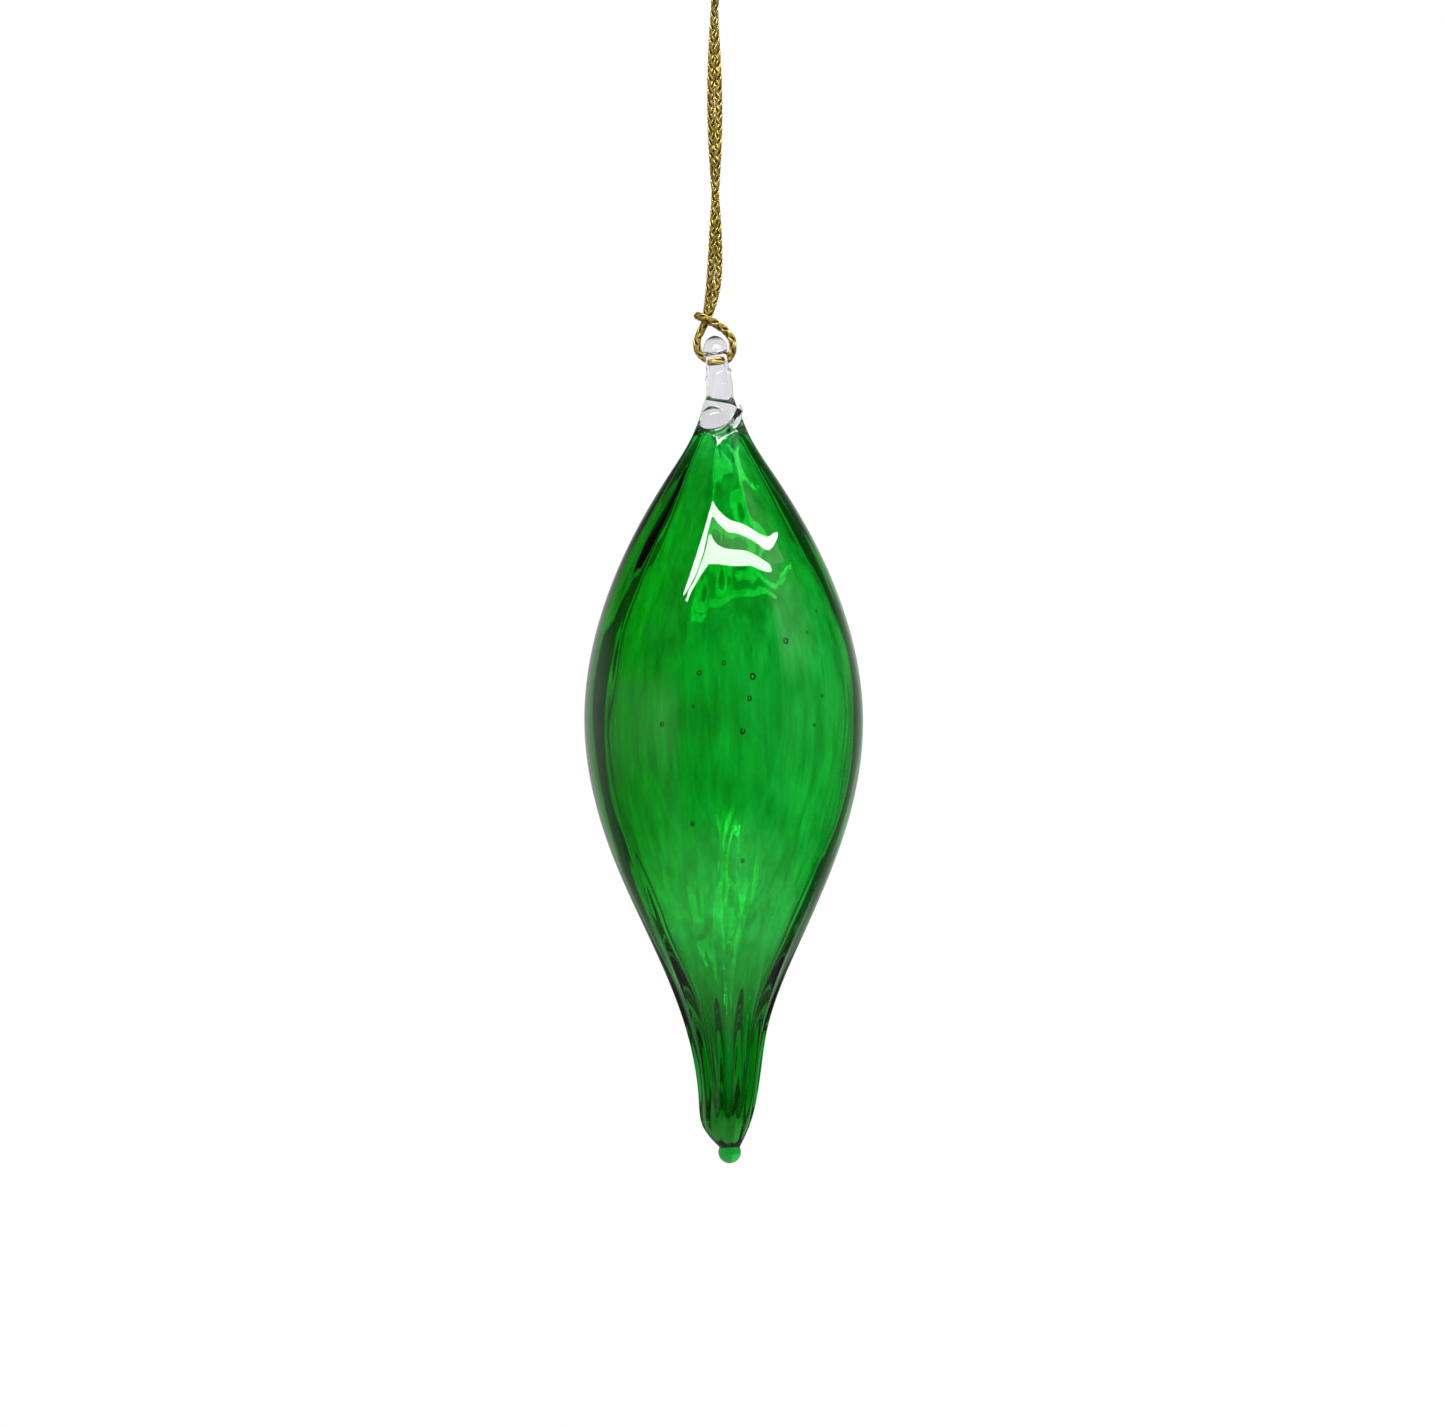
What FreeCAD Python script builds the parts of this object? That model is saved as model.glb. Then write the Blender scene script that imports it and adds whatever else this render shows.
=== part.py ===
import FreeCAD, Part
import math
import os

# A blown glass teardrop ornament on its gold cord. Millimetres, +Z up.
# The origin is where a hook carries the cord's loop, right under the knot.
# The glass stands straight below it, turned about the Z axis.
# Seen from -Y, +X is on the right, as in a front view.

# Each line is a name, a size and what the size is.
# A run is the way down from one ring of the glass to the next.
SIZES = [
    ("cord_drop", 60.0, "hook to the centre of the glass eye's height"),
    ("cord_diameter", 1.15, "braided cord"),
    ("stem_run", 5.6, "eye to the waist of the stem"),
    ("neck_run", 4.4, "waist to the neck"),
    ("collar_run", 8.0, "neck to the collar"),
    ("shoulder_run", 18.0, "collar to the shoulder"),
    ("belly_run", 19.6, "shoulder to the widest ring"),
    ("hip_run", 19.4, "widest ring to the hip"),
    ("taper_run", 16.0, "hip to the taper"),
    ("ankle_run", 12.0, "taper to the ankle"),
    ("heel_run", 11.0, "ankle to the heel"),
    ("point_run", 3.8, "heel to the point"),
    ("tip_run", 3.2, "point to the tip"),
    ("stem_radius", 2.37, "waist of the clear stem, along X"),
    ("stem_half_breadth", 3.0, "waist of the clear stem, along Y"),
    ("neck_radius", 3.71, "neck"),
    ("collar_radius", 8.39, "collar"),
    ("shoulder_radius", 17.73, "shoulder"),
    ("belly_radius", 21.5, "widest ring"),
    ("hip_radius", 17.7, "hip"),
    ("taper_radius", 10.76, "taper"),
    ("ankle_radius", 6.24, "ankle"),
    ("heel_radius", 4.43, "heel"),
    ("point_radius", 3.6, "point"),
    ("tip_radius", 1.58, "tip, where the ball begins"),
    ("pip_bulge", 0.17, "ball's radius beyond the tip's"),
    ("wall", 1.5, "glass wall of the bulb"),
    ("tail_wall", 1.9, "glass wall of the tail"),
    ("cavity_end_gap", 2.2, "solid glass between the cavity and the point"),
    ("cavity_end_radius", 0.9, "end of the cavity"),
    ("rib_count", 10, "soft vertical ribs"),
    ("rib_turn", 2.5, "angle of the first rib's crest"),
    ("rib_depth", 0.45, "crest to the middle of a panel, on the bulb"),
    ("fold_depth", 0.7, "the same in the tail"),
    ("point_shift", -0.25, "point ring beside the axis"),
    ("tip_shift", 0.25, "tip and ball beside the axis"),
    ("lap_drop", 6.3, "waist of the stem to the lower edge of the clear glass"),
    ("lap_radius", 5.4, "cone under the clear glass, at its foot"),
    ("lap_rise", 1.5, "height of that cone"),
    ("rim_radius", 3.0, "flat rim round the mouth of the green body"),
    ("mouth_radius", 2.1, "mouth of the green body"),
    ("mouth_depth", 1.3, "depth of the mouth's cylinder"),
    ("mouth_flare", 0.6, "cavity's radius beyond the mouth's"),
    ("plug_root", 1.0, "root of the clear plug above the rim"),
    ("plug_length", 7.0, "clear plug from its root"),
    ("plug_end_radius", 1.3, "lower end of the plug"),
    ("plug_lean", 8.0, "angle of the plug towards +X"),
    ("lump_radius", 2.1, "lump of clear glass on the front of the neck"),
    ("lump_side", -1.0, "lump's centre along X"),
    ("lump_front", -2.0, "lump's centre along Y"),
    ("lump_drop", 3.6, "waist of the stem to the lump's centre"),
    ("eye_shift", -0.65, "eye's centre beside the axis"),
    ("eye_height", 3.8, "top of the eye above its centre"),
    ("eye_half_width", 2.2, "eye along X"),
    ("eye_half_breadth", 3.25, "eye along Y"),
    ("slot_top_radius", 1.5, "hole through the eye, where the cord bears"),
    ("slot_foot_radius", 0.8, "hole through the eye, at its foot"),
    ("slot_top_sink", 0.3, "centre of the hole's top below the eye's centre"),
    ("slot_foot_sink", 0.2, "centre of the hole's foot below the waist of the stem"),
    ("slot_foot_shift", -0.1, "centre of the hole's foot beside the axis"),
    ("slot_round", 3.1, "rounding of the hole's edges"),
    ("knot_top", 5.2, "top of the knot above the hook"),
    ("knot_middle", 1.9, "widest level of the knot above the hook"),
    ("knot_half_width", 2.1, "knot along X"),
    ("knot_half_breadth", 2.6, "knot along Y"),
    ("tail_length", 5.0, "each loose end above the knot"),
    ("tail_lean", 22.0, "angle of a loose end from upright"),
]

# The lines of the profile, from the top: name of the run, of the radius, and which ribs it has.
# A rib share of 0 is round, 1 is the full depth of that kind of rib.
PROFILE = [
    ("stem", "rib_depth", 0.0),
    ("neck", "rib_depth", 0.0),
    ("collar", "rib_depth", 0.45),
    ("shoulder", "rib_depth", 1.0),
    ("belly", "rib_depth", 1.0),
    ("hip", "rib_depth", 1.0),
    ("taper", "fold_depth", 0.9),
    ("ankle", "fold_depth", 1.0),
    ("heel", "fold_depth", 0.7),
    ("point", "fold_depth", 0.3),
    ("tip", "fold_depth", 0.0),
]

POINTS_PER_RIB = 4
CREST_POWER = 2
# The eye's rings, from the stem up: shares of its height, of its two half widths and of its shift.
EYE_RINGS = [
    (-0.95, 1.12, 0.95, 0.1),
    (-0.45, 1.06, 1.0, 0.4),
    (0.05, 0.98, 1.0, 0.8),
    (0.45, 0.91, 0.9, 1.0),
    (0.75, 0.72, 0.7, 1.1),
    (0.92, 0.43, 0.42, 1.15),
    (1.0, 0.13, 0.12, 1.15),
]
# Where the slot's outline is drawn, as shares of the rounding of its edges.
SLOT_STATIONS = (-0.96, -0.75, -0.42, 0.0, 0.42, 0.75, 0.96)
# The rounding at the slot's foot, as a share of the rounding at its top.
FOOT_ROUNDING = 0.5

# The cord's route from the knot down, through the eye, round itself, back and up to the knot.
ROUTE = [
    (0.0, -1.35, 0.0),
    (0.0, -1.35, -2.4),
    (-0.38, -0.66, -6.5),
    (-0.87, -0.45, -13.4),
    (-1.06, 0.0, -20.7),
    (-0.9, 0.45, -27.6),
    (-0.47, 0.64, -34.5),
    (-0.05, 0.45, -40.7),
    (-0.06, 0.0, -46.8),
    (-0.63, -0.37, -50.2),
    (-1.48, -0.58, -52.7),
    (-2.4, -0.64, -54.6),
    (-3.3, -0.66, -56.15),
    (-3.65, -0.66, -57.85),
    (-3.0, -0.64, -59.25),
    (-1.6, -0.62, -59.7),
    (0.35, -0.62, -59.7),
    (1.6, -0.64, -59.25),
    (2.15, -0.66, -57.9),
    (1.7, -0.66, -56.3),
    (0.45, -0.85, -55.05),
    (-0.75, -1.5, -54.25),
    (-2.05, -2.0, -53.7),
    (-3.05, -1.2, -53.2),
    (-3.5, 0.0, -53.05),
    (-3.05, 1.2, -53.2),
    (-2.05, 2.0, -53.7),
    (-0.75, 1.5, -54.25),
    (0.45, 0.85, -55.05),
    (1.7, 0.66, -56.3),
    (2.15, 0.66, -57.9),
    (1.6, 0.64, -59.25),
    (0.35, 0.62, -59.7),
    (-1.6, 0.62, -59.7),
    (-3.0, 0.64, -59.25),
    (-3.65, 0.66, -57.85),
    (-3.3, 0.66, -56.15),
    (-2.4, 0.64, -54.6),
    (-2.02, 0.58, -52.7),
    (-1.67, 0.37, -50.2),
    (-1.34, 0.0, -46.8),
    (-0.95, -0.45, -40.7),
    (-0.47, -0.64, -34.5),
    (0.0, -0.45, -27.6),
    (0.22, 0.0, -20.7),
    (0.03, 0.45, -13.4),
    (-0.38, 0.66, -6.5),
    (0.0, 1.35, -2.4),
    (0.0, 1.35, 0.0),
]

# An arc's reach along the shorter of its two runs, and the axis that the loose ends lean about.
BEND_SHARE = 0.45
LOOSE_END_AXIS = (-1, 0.35, 0)


# The document and its sheet of sizes

doc = FreeCAD.newDocument("teardrop_ornament")
sheet = doc.addObject("Spreadsheet::Sheet", "Sizes")


def fill_sheet():
    for row, (alias, value, note) in enumerate(SIZES, start=1):
        sheet.set("A%d" % row, alias)
        sheet.set("B%d" % row, str(value))
        sheet.set("C%d" % row, note)
        sheet.setAlias("B%d" % row, alias)
    doc.recompute()


def size(alias):
    return float(sheet.get(alias))


def bind(thing, **expressions):
    for name, expression in expressions.items():
        thing.setExpression(name, expression)


def place(thing, **expressions):
    for axis, expression in expressions.items():
        thing.setExpression("Placement.Base." + axis, expression)


# Rings and lofts of the glass

def ring(half_width, half_breadth, depth, height, ribs=0.0, shift=0.0):
    """A closed smooth curve at one height. With ribs it has crests and flat panels between them."""
    rib_count = int(round(size("rib_count")))
    steps = rib_count * POINTS_PER_RIB
    points = []
    for step in range(steps):
        angle = math.radians(size("rib_turn")) + 2 * math.pi * step / steps
        crest = (0.5 + 0.5 * math.cos(2 * math.pi * step / POINTS_PER_RIB)) ** CREST_POWER
        inward = ribs * (1 - crest)
        points.append(FreeCAD.Vector(
            shift + (half_width - inward) * math.cos(angle),
            (half_breadth - inward) * math.sin(angle),
            height - depth))
    curve = Part.BSplineCurve()
    curve.interpolate(Points=points, PeriodicFlag=True)
    return Part.Wire([curve.toShape()])


def ring_object(name, wire):
    thing = doc.addObject("Part::Feature", name)
    thing.Shape = wire
    return thing


def loft_object(name, rings):
    thing = doc.addObject("Part::Loft", name)
    thing.Sections = rings
    thing.Solid = True
    thing.Ruled = False
    return thing


def stations():
    """Depth below the eye, crest radius and rib depth of each ring of the outside."""
    depth = 0.0
    found = []
    for name, kind, share in PROFILE:
        depth += size(name + "_run")
        found.append((name, depth, size(name + "_radius"), share * size(kind)))
    return found


def half_breadth(name):
    return size("stem_half_breadth") if name == "stem" else size(name + "_radius")


def shift(name):
    return size(name + "_shift") if name in ("point", "tip") else 0.0


def inner_stations():
    """The outside's rings moved in by the wall, square to the profile, from the mouth to the tail's end."""
    outside = stations()
    waist_depth = outside[0][1]
    rim_depth = waist_depth + size("lap_drop") - size("lap_rise")
    found = [("mouth", rim_depth + size("mouth_depth"), size("mouth_radius") + size("mouth_flare"), 0.0)]
    for before, here, after in zip(outside[1:], outside[2:], outside[3:]):
        name, depth, radius, ribs = here
        if name in ("point", "tip"):
            continue
        fall = after[1] - before[1]
        growth = after[2] - before[2]
        slant = math.hypot(fall, growth)
        wall = size("tail_wall") if name in ("ankle", "heel") else size("wall")
        found.append((name, depth + wall * growth / slant, radius - wall * fall / slant, ribs))
    point_depth = outside[-2][1]
    found.append(("end", point_depth - size("cavity_end_gap"), size("cavity_end_radius"), 0.0))
    return found


def make_outside():
    rings = []
    for name, depth, radius, ribs in stations():
        wire = ring(radius, half_breadth(name), depth, -size("cord_drop"), ribs, shift(name))
        rings.append(ring_object(name + "_ring", wire))
    return loft_object("outside", rings)


def make_cavity():
    rings = []
    for name, depth, radius, ribs in inner_stations():
        wire = ring(radius, radius, depth, -size("cord_drop"), ribs)
        rings.append(ring_object(name + "_inner_ring", wire))
    return loft_object("cavity", rings)


def make_pip():
    pip = doc.addObject("Part::Sphere", "pip")
    bind(pip, Radius="Sizes.tip_radius + Sizes.pip_bulge")
    runs = " - ".join("Sizes.%s_run" % name for name, kind, share in PROFILE)
    sink = "sqrt((Sizes.tip_radius + Sizes.pip_bulge)^2 - Sizes.tip_radius^2)"
    place(pip, x="Sizes.tip_shift", z="-Sizes.cord_drop - %s - %s" % (runs, sink))
    return pip


def make_lump():
    lump = doc.addObject("Part::Sphere", "lump")
    bind(lump, Radius="Sizes.lump_radius")
    place(lump, x="Sizes.lump_side", y="Sizes.lump_front",
          z="-Sizes.cord_drop - Sizes.stem_run - Sizes.lump_drop")
    return lump


def make_seat(lump):
    """What the clear glass takes: all above a cone on the neck, a lump, and a plug through the mouth."""
    above = doc.addObject("Part::Cylinder", "above_lap")
    bind(above, Radius="2 * Sizes.collar_radius", Height="2 * Sizes.lap_drop")
    lap = "-Sizes.cord_drop - Sizes.stem_run - Sizes.lap_drop"
    place(above, z=lap)
    cone = doc.addObject("Part::Cone", "lap_cone")
    bind(cone, Radius1="Sizes.lap_radius", Radius2="Sizes.rim_radius", Height="Sizes.lap_rise")
    place(cone, z=lap)
    cover = doc.addObject("Part::Cut", "cover")
    cover.Base = above
    cover.Tool = cone
    plug = doc.addObject("Part::Cone", "plug")
    bind(plug, Radius1="Sizes.mouth_radius", Radius2="Sizes.plug_end_radius", Height="Sizes.plug_length")
    plug.Placement.Rotation = FreeCAD.Rotation(FreeCAD.Vector(0, 1, 0), 180 - size("plug_lean"))
    place(plug, z=lap + " + Sizes.lap_rise + Sizes.plug_root")
    seat = doc.addObject("Part::MultiFuse", "seat")
    seat.Shapes = [cover, plug, lump]
    return seat


def make_glass_body(outside, cavity, pip, seat):
    blank = doc.addObject("Part::Fuse", "blank")
    blank.Base = outside
    blank.Tool = pip
    hollow = doc.addObject("Part::Cut", "hollow")
    hollow.Base = blank
    hollow.Tool = cavity
    body = doc.addObject("Part::Cut", "glass_body")
    body.Base = hollow
    body.Tool = seat
    return body


def make_eye():
    rings = []
    waist = ring(size("stem_radius"), half_breadth("stem"), size("stem_run"), -size("cord_drop"))
    rings.append(ring_object("eye_waist_ring", waist))
    for number, (rise, wide, broad, lean) in enumerate(EYE_RINGS, start=1):
        wire = ring(wide * size("eye_half_width"), broad * size("eye_half_breadth"),
                    -rise * size("eye_height"), -size("cord_drop"), shift=lean * size("eye_shift"))
        rings.append(ring_object("eye_ring_%d" % number, wire))
    return loft_object("eye_blank", rings)


def slot_outline(along, growth):
    """The hole's outline: a wide arc above, a narrow arc below and a straight side on each hand.
    It leans over with the eye, so that the hole goes right through at its foot too."""
    top = -size("cord_drop") - size("slot_top_sink")
    foot = -size("cord_drop") - size("stem_run") - size("slot_foot_sink")
    length = top - foot
    top_radius = size("slot_top_radius") + growth
    foot_radius = size("slot_foot_radius") + FOOT_ROUNDING * growth
    slope = math.asin((top_radius - foot_radius) / length)
    lean = (size("slot_foot_shift") - size("eye_shift")) / length

    def point(level, radius, across, up):
        height = level + radius * up
        return FreeCAD.Vector(along + lean * (top - height), radius * across, height)

    across = math.cos(slope)
    up = -math.sin(slope)
    top_right = point(top, top_radius, across, up)
    top_left = point(top, top_radius, -across, up)
    foot_right = point(foot, foot_radius, across, up)
    foot_left = point(foot, foot_radius, -across, up)
    return Part.Wire([
        Part.Arc(top_right, point(top, top_radius, 0, 1), top_left).toShape(),
        Part.LineSegment(top_left, foot_left).toShape(),
        Part.Arc(foot_left, point(foot, foot_radius, 0, -1), foot_right).toShape(),
        Part.LineSegment(foot_right, top_right).toShape()])


def make_slot():
    """A long hole along X, widening towards both ends so that its edges are round."""
    rounding = size("slot_round")
    rings = []
    for number, share in enumerate(SLOT_STATIONS, start=1):
        growth = rounding * (1 - math.sqrt(1 - share ** 2))
        wire = slot_outline(size("eye_shift") + share * rounding, growth)
        rings.append(ring_object("slot_ring_%d" % number, wire))
    return loft_object("slot", rings)


def make_glass_hanger(outside, seat, eye, lump, slot):
    cap = doc.addObject("Part::Common", "cap")
    cap.Base = outside
    cap.Tool = seat
    blank = doc.addObject("Part::MultiFuse", "hanger_blank")
    blank.Shapes = [eye, cap, lump]
    hanger = doc.addObject("Part::Cut", "glass_hanger")
    hanger.Base = blank
    hanger.Tool = slot
    return hanger


# The cord and its knot

def route_wire():
    """Straight runs joined by tangent arcs, as large as each pair of runs allows."""
    points = [FreeCAD.Vector(*point) for point in ROUTE]
    edges = []
    radii = []
    last = points[0]
    for before, corner, after in zip(points, points[1:], points[2:]):
        way_in = (corner - before).normalize()
        way_out = (after - corner).normalize()
        turn = way_in.getAngle(way_out)
        reach = BEND_SHARE * min((corner - before).Length, (after - corner).Length)
        radius = reach / math.tan(turn / 2)
        start = corner - way_in * reach
        end = corner + way_out * reach
        inward = (way_out - way_in).normalize()
        middle = corner + inward * (radius / math.cos(turn / 2) - radius)
        edges.append(Part.LineSegment(last, start).toShape())
        edges.append(Part.Arc(start, middle, end).toShape())
        radii.append(radius)
        last = end
    edges.append(Part.LineSegment(last, points[-1]).toShape())
    print("cord radii", " ".join("%.2f" % radius for radius in radii))
    return Part.Wire(edges)


def make_cord():
    path = doc.addObject("Part::Feature", "cord_path")
    path.Shape = route_wire()
    start = FreeCAD.Vector(*ROUTE[0])
    section = doc.addObject("Part::Circle", "cord_section")
    bind(section, Radius="Sizes.cord_diameter / 2")
    section.Placement.Base = start
    cord = doc.addObject("Part::Sweep", "hanging_cord")
    cord.Sections = [section]
    cord.Spine = (path, [])
    cord.Solid = True
    cord.Frenet = False
    return cord, path


def make_knot():
    oval = doc.addObject("Part::Ellipsoid", "knot_oval")
    bind(oval, Radius1="Sizes.knot_top - Sizes.knot_middle", Radius2="Sizes.knot_half_width",
         Radius3="Sizes.knot_half_breadth")
    place(oval, z="Sizes.knot_middle")
    above = doc.addObject("Part::Box", "above_hook")
    bind(above, Length="4 * Sizes.knot_half_width", Width="4 * Sizes.knot_half_breadth",
         Height="2 * Sizes.knot_top")
    place(above, x="-2 * Sizes.knot_half_width", y="-2 * Sizes.knot_half_breadth")
    body = doc.addObject("Part::Common", "knot_body")
    body.Base = oval
    body.Tool = above
    ends = []
    for number, side in enumerate((-1, 1), start=1):
        end = doc.addObject("Part::Cylinder", "loose_end_%d" % number)
        bind(end, Radius="Sizes.cord_diameter / 2",
             Height="Sizes.knot_top - Sizes.knot_middle + Sizes.tail_length")
        lean_axis = FreeCAD.Vector(*LOOSE_END_AXIS)
        end.Placement.Rotation = FreeCAD.Rotation(lean_axis, side * size("tail_lean"))
        place(end, z="Sizes.knot_middle")
        ends.append(end)
    knot = doc.addObject("Part::MultiFuse", "cord_knot")
    knot.Shapes = [body] + ends
    return knot


# The checks and the files

def check(parts):
    for thing in doc.Objects:
        if "Invalid" in thing.State or "Error" in thing.State:
            raise RuntimeError("failed object: " + thing.Name)
    for part in parts:
        if part.Shape.isNull() or not part.Shape.isValid():
            raise RuntimeError("bad shape: " + part.Label)
        print(part.Label, "solids", len(part.Shape.Solids), "volume %.2f" % part.Shape.Volume)


def export(parts):
    os.makedirs("parts", exist_ok=True)
    for part in parts:
        part.Shape.exportStep("parts/%s.step" % part.Label)


fill_sheet()
outside = make_outside()
cavity = make_cavity()
pip = make_pip()
lump = make_lump()
seat = make_seat(lump)
glass_body = make_glass_body(outside, cavity, pip, seat)
eye = make_eye()
slot = make_slot()
glass_hanger = make_glass_hanger(outside, seat, eye, lump, slot)
hanging_cord, cord_path = make_cord()
cord_knot = make_knot()
doc.recompute()
parts = [glass_body, glass_hanger, hanging_cord, cord_knot]
check(parts)
section_area = math.pi * (size("cord_diameter") / 2) ** 2
print("cord length %.2f, section times length %.2f" % (
    cord_path.Shape.Length, section_area * cord_path.Shape.Length))
export(parts)
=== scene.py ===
import math

import bmesh
import bpy
import numpy as np
from mathutils import Matrix, Vector


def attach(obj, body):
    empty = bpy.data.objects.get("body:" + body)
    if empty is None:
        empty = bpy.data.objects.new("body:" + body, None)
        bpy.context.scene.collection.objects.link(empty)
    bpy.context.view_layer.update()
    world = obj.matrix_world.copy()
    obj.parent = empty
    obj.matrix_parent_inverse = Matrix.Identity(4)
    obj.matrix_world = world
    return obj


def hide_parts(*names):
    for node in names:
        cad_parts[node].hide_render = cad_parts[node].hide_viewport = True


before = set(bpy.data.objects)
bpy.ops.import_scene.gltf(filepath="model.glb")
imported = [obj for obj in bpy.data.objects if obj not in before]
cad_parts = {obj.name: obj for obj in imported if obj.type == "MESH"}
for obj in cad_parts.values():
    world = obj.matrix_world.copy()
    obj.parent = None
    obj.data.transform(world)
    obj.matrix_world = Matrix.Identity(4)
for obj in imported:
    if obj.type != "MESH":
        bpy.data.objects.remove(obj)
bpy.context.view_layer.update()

# Everything below is in millimetres until it goes into a mesh, where it is multiplied by MM.
MM = 0.001
# Depths are measured down from the centre of the eye.
EYE_LEVEL = -60.0

scene = bpy.context.scene
scene.view_settings.view_transform = "Standard"


# Camera

PHOTO_WIDTH = 1445
PIXELS_PER_MM = 6.5
CAMERA_DISTANCE = 900.0
CAMERA_PLACE = (-0.173, -CAMERA_DISTANCE, -114.23)
CAMERA_ROLL = math.radians(0.573)


def make_camera():
    """A level view along +Y, turned a little about its own line of sight, as in the photograph."""
    data = bpy.data.cameras.new("camera")
    camera = bpy.data.objects.new("camera", data)
    scene.collection.objects.link(camera)
    data.sensor_width = 36.0
    data.lens = data.sensor_width * CAMERA_DISTANCE / (PHOTO_WIDTH / PIXELS_PER_MM)
    data.clip_start = 0.01
    data.clip_end = 50.0
    right = Vector((math.cos(CAMERA_ROLL), 0, -math.sin(CAMERA_ROLL)))
    up = Vector((math.sin(CAMERA_ROLL), 0, math.cos(CAMERA_ROLL)))
    back = right.cross(up)
    turn = Matrix((right, up, back)).transposed().to_4x4()
    camera.matrix_world = Matrix.Translation(Vector(CAMERA_PLACE) * MM) @ turn
    scene.camera = camera


make_camera()


# Small helpers

def link(name, mesh):
    thing = bpy.data.objects.new(name, mesh)
    scene.collection.objects.link(thing)
    return thing


def mesh_from(name, points, faces):
    """A mesh from points in millimetres."""
    mesh = bpy.data.meshes.new(name)
    mesh.from_pydata((np.asarray(points, float) * MM).tolist(), [], faces)
    mesh.validate()
    mesh.update()
    return mesh


def smooth_shade(mesh, sharp_angle=None):
    """Smooth shading, with edges steeper than the angle kept sharp."""
    for polygon in mesh.polygons:
        polygon.use_smooth = True
    if sharp_angle is None:
        return
    form = bmesh.new()
    form.from_mesh(mesh)
    limit = math.radians(sharp_angle)
    for edge in form.edges:
        if len(edge.link_faces) == 2 and edge.calc_face_angle(0.0) > limit:
            edge.smooth = False
    form.to_mesh(mesh)
    form.free()


def natural_spline(knots, values, at):
    """A cubic spline through the values, with free ends."""
    knots = np.asarray(knots, float)
    values = np.asarray(values, float)
    count = len(knots)
    gaps = np.diff(knots)
    left = np.zeros((count, count))
    right = np.zeros((count,) + values.shape[1:])
    left[0, 0] = 1
    left[-1, -1] = 1
    for i in range(1, count - 1):
        left[i, i - 1] = gaps[i - 1]
        left[i, i] = 2 * (gaps[i - 1] + gaps[i])
        left[i, i + 1] = gaps[i]
        after = (values[i + 1] - values[i]) / gaps[i]
        before = (values[i] - values[i - 1]) / gaps[i - 1]
        right[i] = 6 * (after - before)
    bends = np.linalg.solve(left, right)
    at = np.asarray(at, float)
    index = np.clip(np.searchsorted(knots, at, side="right") - 1, 0, count - 2)
    gap = gaps[index]
    ahead = knots[index + 1] - at
    behind = at - knots[index]
    shape = (-1,) + (1,) * (values.ndim - 1)
    gap, ahead, behind = gap.reshape(shape), ahead.reshape(shape), behind.reshape(shape)
    return (bends[index] * ahead ** 3 / (6 * gap) + bends[index + 1] * behind ** 3 / (6 * gap)
            + (values[index] / gap - bends[index] * gap / 6) * ahead
            + (values[index + 1] / gap - bends[index + 1] * gap / 6) * behind)


def chord_steps(points):
    steps = np.linalg.norm(np.diff(points[:, :2], axis=0), axis=1)
    return np.concatenate([[0], np.cumsum(steps)])


def dense_line(stations, count):
    """The stations' smooth line, as evenly spaced rows."""
    stations = np.asarray(stations, float)
    knots = chord_steps(stations)
    fine = natural_spline(knots, stations, np.linspace(0, knots[-1], 4000))
    along = chord_steps(fine)
    wanted = np.linspace(0, along[-1], count)
    return np.stack([np.interp(wanted, along, fine[:, k]) for k in range(fine.shape[1])], axis=1)


# The cord

ROUTE = [
    (0.0, -0.00135, 0.0), (0.0, -0.00135, -0.0024), (-0.00038, -0.00066, -0.0065),
    (-0.00087, -0.00045, -0.0134), (-0.00106, 0.0, -0.0207), (-0.0009, 0.00045, -0.0276),
    (-0.00047, 0.00064, -0.0345), (-0.00005, 0.00045, -0.0407), (-0.00006, 0.0, -0.0468),
    (-0.00063, -0.00037, -0.0502), (-0.00148, -0.00058, -0.0527), (-0.0024, -0.00064, -0.0546),
    (-0.0033, -0.00066, -0.05615), (-0.00365, -0.00066, -0.05785), (-0.003, -0.00064, -0.05925),
    (-0.0016, -0.0006, -0.0602), (0.00035, -0.0006, -0.0603), (0.0016, -0.00064, -0.0597),
    (0.00215, -0.00066, -0.0579), (0.0017, -0.00066, -0.0563), (0.00045, -0.00085, -0.05505),
    (-0.00075, -0.0015, -0.05425), (-0.00205, -0.002, -0.0537), (-0.00305, -0.0012, -0.0532),
    (-0.0035, 0.0, -0.05305), (-0.00305, 0.0012, -0.0532), (-0.00205, 0.002, -0.0537),
    (-0.00075, 0.0015, -0.05425), (0.00045, 0.00085, -0.05505), (0.0017, 0.00066, -0.0563),
    (0.00215, 0.00066, -0.0579), (0.0016, 0.00064, -0.05925), (0.00035, 0.00062, -0.0597),
    (-0.0016, 0.00062, -0.0597), (-0.003, 0.00064, -0.05925), (-0.00365, 0.00066, -0.05785),
    (-0.0033, 0.00066, -0.05615), (-0.0024, 0.00064, -0.0546), (-0.00202, 0.00058, -0.0527),
    (-0.00167, 0.00037, -0.0502), (-0.00134, 0.0, -0.0468), (-0.00095, -0.00045, -0.0407),
    (-0.00047, -0.00064, -0.0345), (0.0, -0.00045, -0.0276), (0.00022, 0.0, -0.0207),
    (0.00003, 0.00045, -0.0134), (-0.00038, 0.00066, -0.0065), (0.0, 0.00135, -0.0024),
    (0.0, 0.00135, 0.0),
]


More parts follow.
